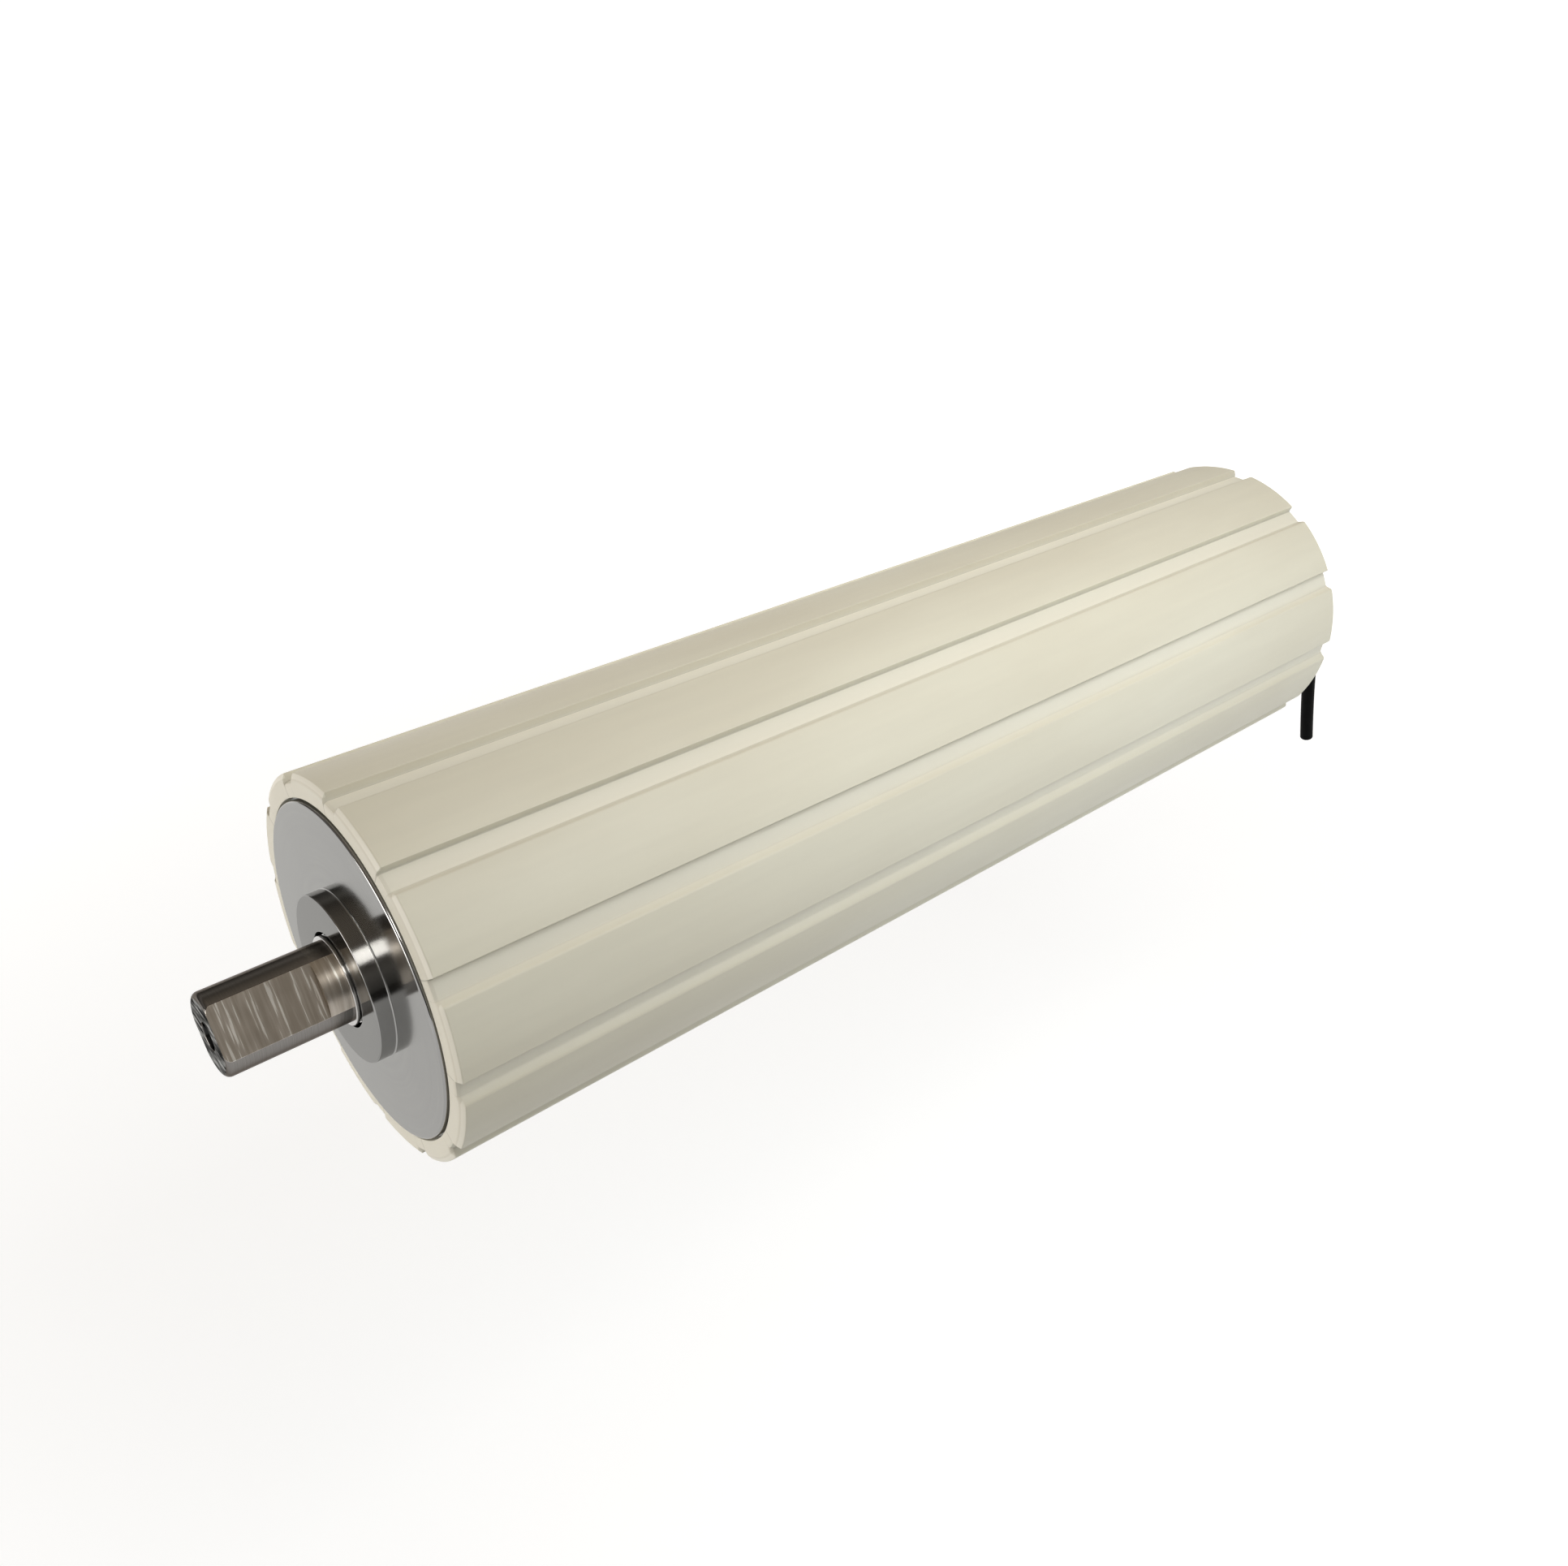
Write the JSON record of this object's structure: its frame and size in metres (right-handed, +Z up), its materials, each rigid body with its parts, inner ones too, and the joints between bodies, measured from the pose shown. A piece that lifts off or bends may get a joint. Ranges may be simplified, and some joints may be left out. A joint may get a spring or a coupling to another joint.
{
  "type": "conveyor drum motor",
  "caption": "Motorised conveyor pulley: cream lagging with moulded lugs round a steel drum that a geared motor inside turns about fixed, flatted shaft ends; cable at one end.",
  "frame": {"origin": "on the drum's axis, at the middle of the front shaft end's flats", "axes": "+X along the axis from the front shaft end to the cable end, +Z up as in the picture"},
  "size_m": [0.7059, 0.144, 0.2133],
  "materials": {
    "lagging": "satin moulded cream polyurethane",
    "drum_steel": "plain tube",
    "housing_steel": "fine turned",
    "shaft_steel": "ground, flats milled",
    "gear_steel": "machined",
    "bearing_steel": "ground",
    "seal_rubber": "matt black",
    "case_aluminium": "cast",
    "core_iron": "laminated",
    "winding_copper": "enamelled copper",
    "lead_sleeve": "silicone sleeve",
    "gland_brass": "nickel plated",
    "cable_jacket": "satin black"
  },
  "bodies": {
    "fixed_core": {"front_shaft": "shaft_steel", "rear_shaft": "shaft_steel", "labyrinth_rings": "shaft_steel", "shaft_key": "gear_steel", "motor_case": "case_aluminium", "bearing_shields": "case_aluminium", "stator_core": "core_iron", "stator_windings": "winding_copper", "motor_leads": "lead_sleeve", "gland_body": "gland_brass", "gland_nut": "gland_brass", "power_cable": "cable_jacket"},
    "drum": {"profiled_lagging": "lagging", "drum_shell": "drum_steel", "end_housings": "housing_steel", "ring_gear": "gear_steel", "main_bearings": "bearing_steel", "shaft_seals": "seal_rubber"},
    "rotor": {"rotor_shaft": "gear_steel", "rotor_core": "core_iron", "motor_pinion": "gear_steel"},
    "layshaft": {"layshaft_pinion": "gear_steel", "layshaft_gear": "gear_steel"}
  },
  "joints": [
    {"name": "drum_spin", "type": "hinge", "parent": "fixed_core", "child": "drum", "pos_m": [0, 0, 0], "axis": [1, 0, 0], "continuous": true},
    {"name": "layshaft_spin", "type": "hinge", "parent": "fixed_core", "child": "layshaft", "pos_m": [0, 0, -0.03], "axis": [1, 0, 0], "continuous": true},
    {"name": "rotor_spin", "type": "hinge", "parent": "fixed_core", "child": "rotor", "pos_m": [0, 0, 0], "axis": [1, 0, 0], "continuous": true}
  ],
  "couplings": [
    {"joint": "layshaft_spin", "follows": "drum_spin", "ratio": 3.5},
    {"joint": "rotor_spin", "follows": "drum_spin", "ratio": -8.1667}
  ]
}
